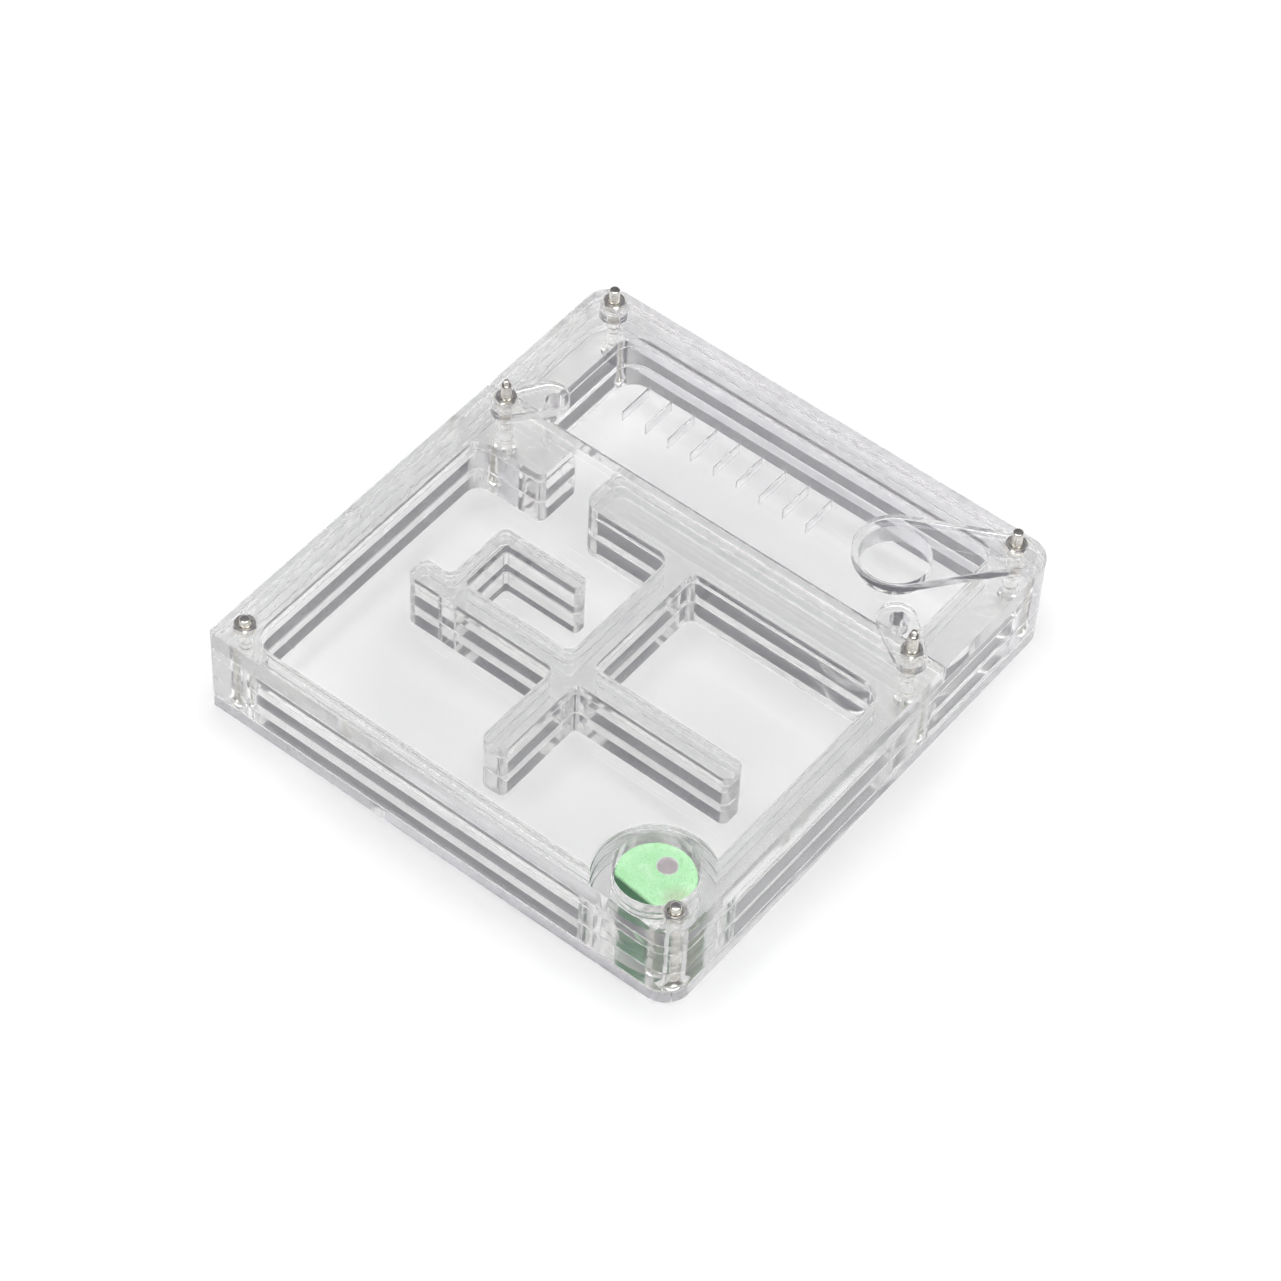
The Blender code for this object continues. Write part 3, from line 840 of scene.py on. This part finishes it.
def build_stage():
    """A plain pale table, with painted shade under the nest."""
    mesh = bpy.data.meshes.new("table_top")
    corners = ((-1, -1), (1, -1), (1, 1), (-1, 1))
    points = [(x * TABLE_HALF, y * TABLE_HALF, TABLE_Z) for x, y in corners]
    mesh.from_pydata(points, [], [(0, 1, 2, 3)])
    n = Nodes("table_white")
    grain = n.noise((40.0, 40.0, 40.0), 3.0)
    reach = n.add("ShaderNodeVectorMath", operation="LENGTH")
    n.link(n.where, reach.inputs[0])
    # Painted shade: the table darkens towards the nest.
    painted_nest_shade = n.remap(reach.outputs["Value"], SHADE_INNER, SHADE_OUTER, SHADE, 0.0)
    mottle = n.remap(grain, 0.3, 0.7, TABLE_DARK, TABLE_LIGHT)
    total = n.add("ShaderNodeMath", operation="ADD")
    n.link(painted_nest_shade, total.inputs[0])
    n.link(mottle, total.inputs[1])
    greys = [(0.0, (0.0, 0.0, 0.0)), (1.0, (1.0, 1.0, 1.0))]
    n.set(Base_Color=n.ramp(total.outputs["Value"], greys), Roughness=TABLE_ROUGH)
    mesh.materials.append(n.material)
    floor = bpy.data.objects.new("table_top", mesh)
    bpy.context.scene.collection.objects.link(floor)


def build_light():
    """Soft sky: a soft horizon, a dark ring, bright above it, dim straight up.

    The ring is what the inner walls mirror from the photo's angle. The dim
    middle keeps a view from straight above clear of its own reflection.
    """
    world = bpy.data.worlds.new("studio")
    bpy.context.scene.world = world
    world.use_nodes = True
    tree = world.node_tree
    background = tree.nodes["Background"]
    where = tree.nodes.new("ShaderNodeTexCoord")
    split = tree.nodes.new("ShaderNodeSeparateXYZ")
    ramp = tree.nodes.new("ShaderNodeValToRGB")
    set_stops(ramp, SKY)
    tree.links.new(where.outputs["Generated"], split.inputs[0])
    tree.links.new(split.outputs["Z"], ramp.inputs["Fac"])
    tree.links.new(ramp.outputs["Color"], background.inputs["Color"])
    background.inputs["Strength"].default_value = SKY_STRENGTH


def build_camera():
    """Long lens from the front right, a little over fifty degrees up."""
    sin_turn, cos_turn = math.sin(VIEW_TURN), math.cos(VIEW_TURN)
    cos_lift = math.cos(VIEW_LIFT)
    back = Vector((sin_turn * cos_lift, -cos_turn * cos_lift, math.sin(VIEW_LIFT)))
    right = Vector((cos_turn, sin_turn, 0.0))
    up = back.cross(right)
    x_axis = right * math.cos(VIEW_ROLL) + up * math.sin(VIEW_ROLL)
    y_axis = up * math.cos(VIEW_ROLL) - right * math.sin(VIEW_ROLL)
    place = (x_axis * -VIEW_X + y_axis * VIEW_Y + back * VIEW_AWAY) * MM
    data = bpy.data.cameras.new("view")
    data.sensor_width = SENSOR
    data.lens = FOCAL * SENSOR / PHOTO_WIDTH
    data.clip_start = CLIP_NEAR
    data.clip_end = CLIP_FAR
    camera = bpy.data.objects.new("view", data)
    bpy.context.scene.collection.objects.link(camera)
    camera.matrix_world = Matrix((
        (x_axis.x, y_axis.x, back.x, place.x),
        (x_axis.y, y_axis.y, back.y, place.y),
        (x_axis.z, y_axis.z, back.z, place.z),
        (0.0, 0.0, 0.0, 1.0),
    ))
    bpy.context.scene.camera = camera


build_camera()
build_stage()
build_light()
build_sheets()
build_plates()
for key in KEYS:
    build_nut(key)
    build_screw(key)
build_sponge()

scene = bpy.context.scene
scene.view_settings.view_transform = "Standard"
scene.cycles.max_bounces = LIGHT_BOUNCES
scene.cycles.transmission_bounces = LIGHT_BOUNCES
scene.cycles.glossy_bounces = LIGHT_BOUNCES
scene.cycles.blur_glossy = 0.0
